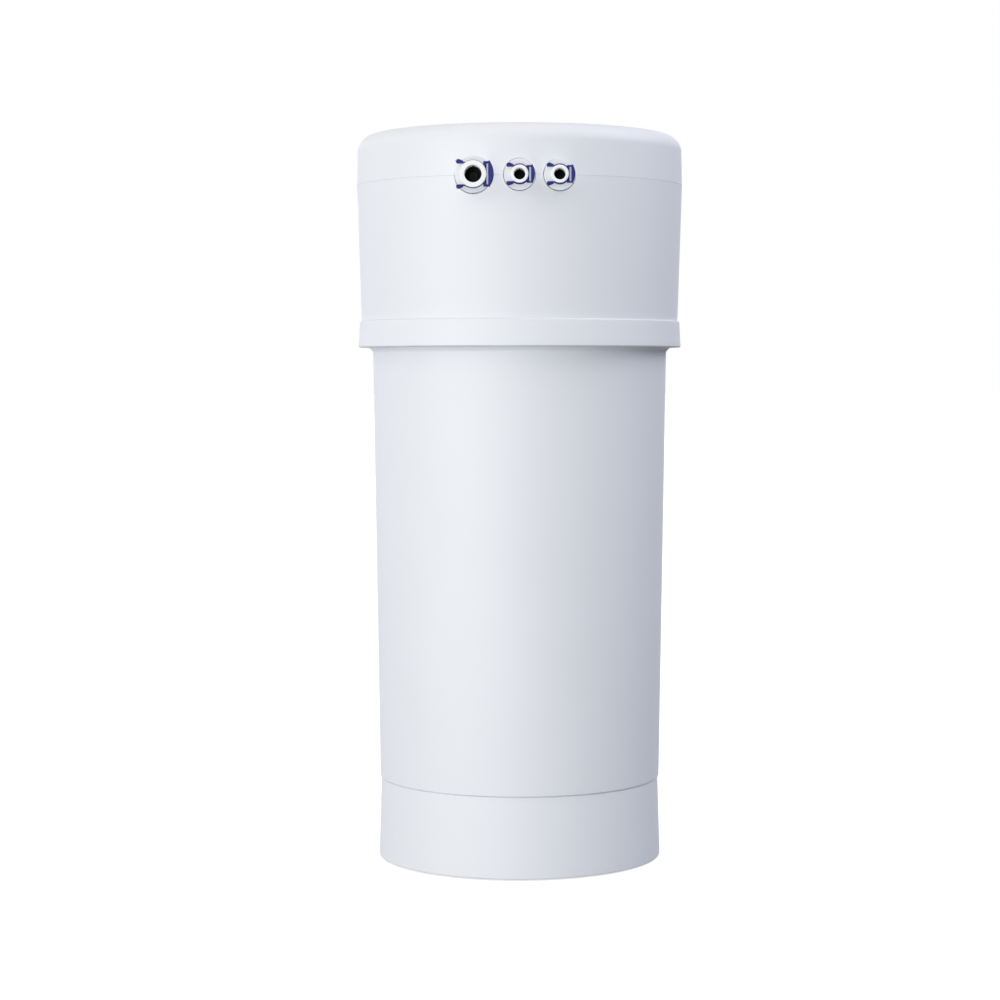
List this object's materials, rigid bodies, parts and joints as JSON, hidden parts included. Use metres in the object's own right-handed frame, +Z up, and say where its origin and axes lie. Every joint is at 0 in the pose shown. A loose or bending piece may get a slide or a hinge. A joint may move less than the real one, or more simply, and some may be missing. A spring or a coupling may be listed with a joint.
{
  "type": "reverse osmosis system",
  "caption": "Compact under-sink reverse osmosis water unit: lift-out head with push-fit ports, lid and quarter-turn cartridges in a round bucket shell on a base.",
  "frame": {"origin": "on the unit's upright axis, at the floor plane under the rubber feet", "axes": "+Z up along the unit's axis; the three tube ports face -Y; +X to the right as seen facing the ports"},
  "size_m": [0.1942, 0.2013, 0.4332],
  "materials": {
    "shell_white": "satin",
    "foot_rubber": "matt",
    "port_white": "satin",
    "collet_white": "satin",
    "clip_blue": "satin",
    "insert_black": "satin",
    "seal_rubber": "matt",
    "line_tube": "satin",
    "canister_white": "satin",
    "membrane_wrap": "matt",
    "carbon_block": "matt",
    "manifold_grey": "satin",
    "valve_grey": "satin"
  },
  "bodies": {
    "housing": {"base_tray": "shell_white", "foot_pad_1": "foot_rubber", "foot_pad_2": "foot_rubber", "foot_pad_3": "foot_rubber", "foot_pad_4": "foot_rubber", "body_shell": "shell_white"},
    "head": {"head_shell": "shell_white", "manifold": "manifold_grey", "inlet_port": "port_white", "product_port": "port_white", "drain_port": "port_white", "inlet_insert": "insert_black", "product_insert": "insert_black", "drain_insert": "insert_black", "inlet_seal": "seal_rubber", "product_seal": "seal_rubber", "drain_seal": "seal_rubber", "port_bracket": "manifold_grey", "inlet_tube": "line_tube", "product_tube": "line_tube", "drain_tube": "line_tube", "check_valve": "valve_grey", "flow_restrictor": "valve_grey", "shutoff_body": "valve_grey", "shutoff_diaphragm": "seal_rubber", "shutoff_bonnet": "valve_grey"},
    "lid": {"lid": "shell_white"},
    "membrane_shutoff": {"membrane_piston": "valve_grey"},
    "membrane": {"membrane_canister": "canister_white", "membrane_element": "membrane_wrap"},
    "prefilter_shutoff": {"prefilter_piston": "valve_grey"},
    "prefilter": {"prefilter_canister": "canister_white", "prefilter_element": "carbon_block"},
    "postfilter_shutoff": {"postfilter_piston": "valve_grey"},
    "postfilter": {"postfilter_canister": "canister_white", "postfilter_element": "carbon_block"},
    "inlet_collet": {"inlet_collet": "collet_white"},
    "inlet_clip": {"inlet_clip": "clip_blue"},
    "product_collet": {"product_collet": "collet_white"},
    "product_clip": {"product_clip": "clip_blue"},
    "drain_collet": {"drain_collet": "collet_white"},
    "drain_clip": {"drain_clip": "clip_blue"}
  },
  "joints": [
    {"name": "head_lift", "type": "slide", "parent": "housing", "child": "head", "axis": [0, 0, 1], "range_m": [0, 0.265]},
    {"name": "lid_lift", "type": "slide", "parent": "head", "child": "lid", "axis": [0, 0, 1], "range_m": [0, 0.06]},
    {"name": "membrane_drop", "type": "slide", "parent": "head", "child": "membrane_shutoff", "axis": [0, 0, -1], "range_m": [0, 0.007]},
    {"name": "membrane_turn", "type": "hinge", "parent": "membrane_shutoff", "child": "membrane", "pos_m": [0, 0.03969, 0.3], "axis": [0, 0, -1], "range_deg": [0, 90]},
    {"name": "prefilter_drop", "type": "slide", "parent": "head", "child": "prefilter_shutoff", "axis": [0, 0, -1], "range_m": [0, 0.007]},
    {"name": "prefilter_turn", "type": "hinge", "parent": "prefilter_shutoff", "child": "prefilter", "pos_m": [-0.03438, -0.01985, 0.3], "axis": [0, 0, -1], "range_deg": [0, 90]},
    {"name": "postfilter_drop", "type": "slide", "parent": "head", "child": "postfilter_shutoff", "axis": [0, 0, -1], "range_m": [0, 0.007]},
    {"name": "postfilter_turn", "type": "hinge", "parent": "postfilter_shutoff", "child": "postfilter", "pos_m": [0.03438, -0.01985, 0.3], "axis": [0, 0, -1], "range_deg": [0, 90]},
    {"name": "inlet_collet_press", "type": "slide", "parent": "head", "child": "inlet_collet", "axis": [0, 1, 0], "range_m": [0, 0.00035]},
    {"name": "inlet_clip_pull", "type": "slide", "parent": "head", "child": "inlet_clip", "axis": [1, 0, 0], "range_m": [0, 0.0072]},
    {"name": "product_collet_press", "type": "slide", "parent": "head", "child": "product_collet", "axis": [0, 1, 0], "range_m": [0, 0.00035]},
    {"name": "product_clip_pull", "type": "slide", "parent": "head", "child": "product_clip", "axis": [1, 0, 0], "range_m": [0, 0.0064]},
    {"name": "drain_collet_press", "type": "slide", "parent": "head", "child": "drain_collet", "axis": [0, 1, 0], "range_m": [0, 0.00035]},
    {"name": "drain_clip_pull", "type": "slide", "parent": "head", "child": "drain_clip", "axis": [1, 0, 0], "range_m": [0, 0.0108]}
  ],
  "couplings": [
    {"joint": "membrane_drop", "follows": "membrane_turn", "m_per_rad": 0.0044563},
    {"joint": "prefilter_drop", "follows": "prefilter_turn", "m_per_rad": 0.0044563},
    {"joint": "postfilter_drop", "follows": "postfilter_turn", "m_per_rad": 0.0044563}
  ]
}
